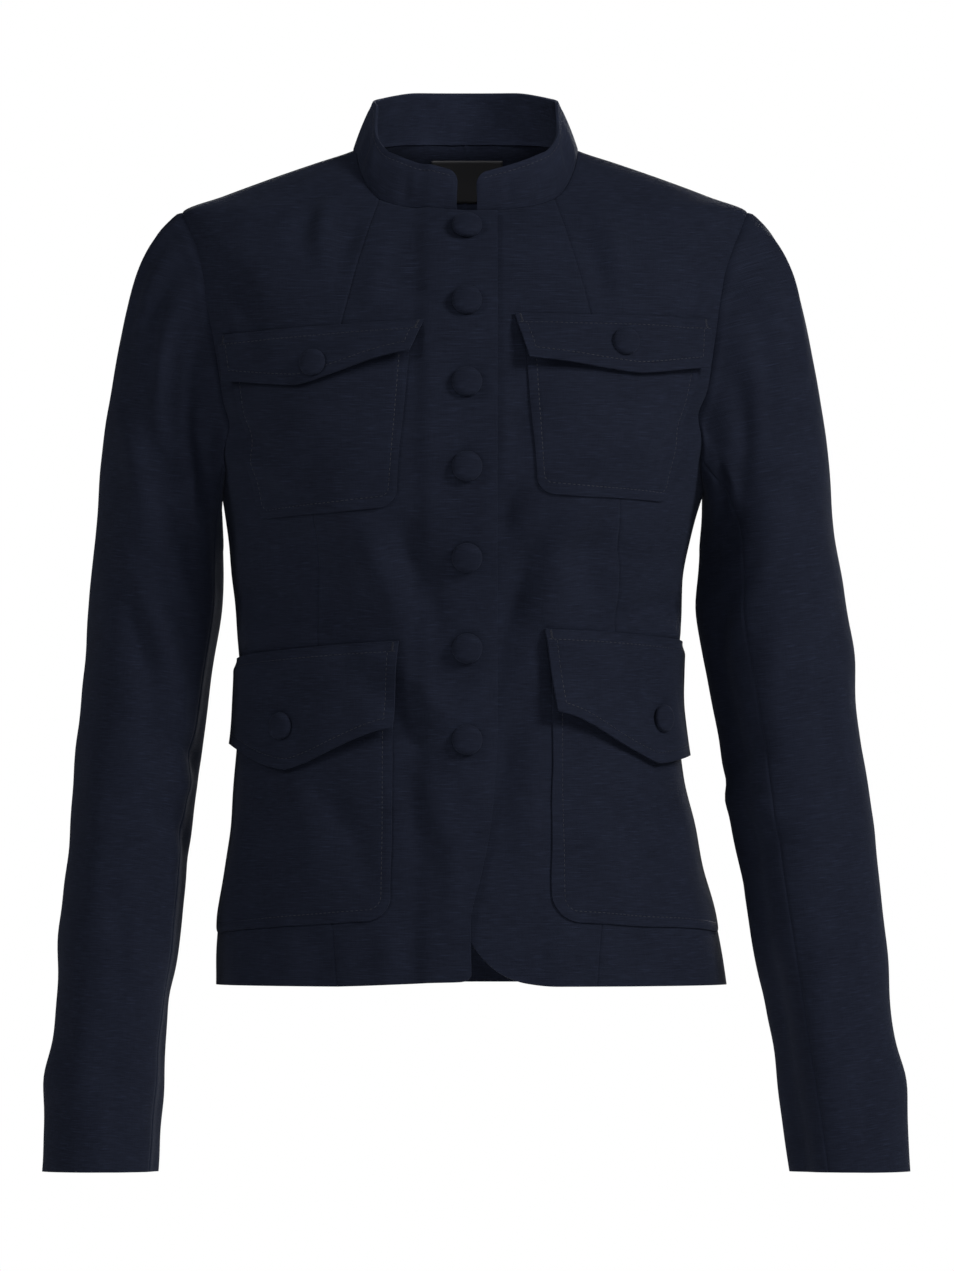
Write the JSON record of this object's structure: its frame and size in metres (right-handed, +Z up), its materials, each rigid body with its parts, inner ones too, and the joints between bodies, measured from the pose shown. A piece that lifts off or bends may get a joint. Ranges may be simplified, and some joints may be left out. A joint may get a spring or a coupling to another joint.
{
  "type": "jacket",
  "caption": "Fitted stand-collar jacket in dark cotton-linen cloth, button front, flap pockets, princess seams and two-piece sleeves, filled out as worn but hollow.",
  "frame": {"origin": "middle of the neck, level with the points where the shoulder seams reach the collar, where the wearer's shoulders hold the jacket up", "axes": "+Z up, -Y is the front, +X is the wearer's left"},
  "size_m": [0.5744, 0.2431, 0.715],
  "materials": {
    "cloth": "matte slub cotton-linen weave, very dark navy",
    "covered_button": "the same cloth stretched over a domed mould",
    "label": "bare dark woven tape"
  },
  "bodies": {
    "root": {"front_centre_right": "cloth", "front_centre_left": "cloth", "front_side_right": "cloth", "front_side_left": "cloth", "back_right": "cloth", "back_left": "cloth", "collar": "cloth", "sleeve_upper_right": "cloth", "sleeve_under_right": "cloth", "sleeve_upper_left": "cloth", "sleeve_under_left": "cloth", "pocket_chest_right": "cloth", "pocket_chest_left": "cloth", "flap_chest_right": "cloth", "flap_chest_left": "cloth", "pocket_lower_right": "cloth", "pocket_lower_left": "cloth", "flap_lower_right": "cloth", "flap_lower_left": "cloth", "button_front_1": "covered_button", "button_front_2": "covered_button", "button_front_3": "covered_button", "button_front_4": "covered_button", "button_front_5": "covered_button", "button_front_6": "covered_button", "button_front_7": "covered_button", "button_chest_right": "covered_button", "button_chest_left": "covered_button", "button_lower_right": "covered_button", "button_lower_left": "covered_button", "neck_label": "label"}
  },
  "joints": []
}
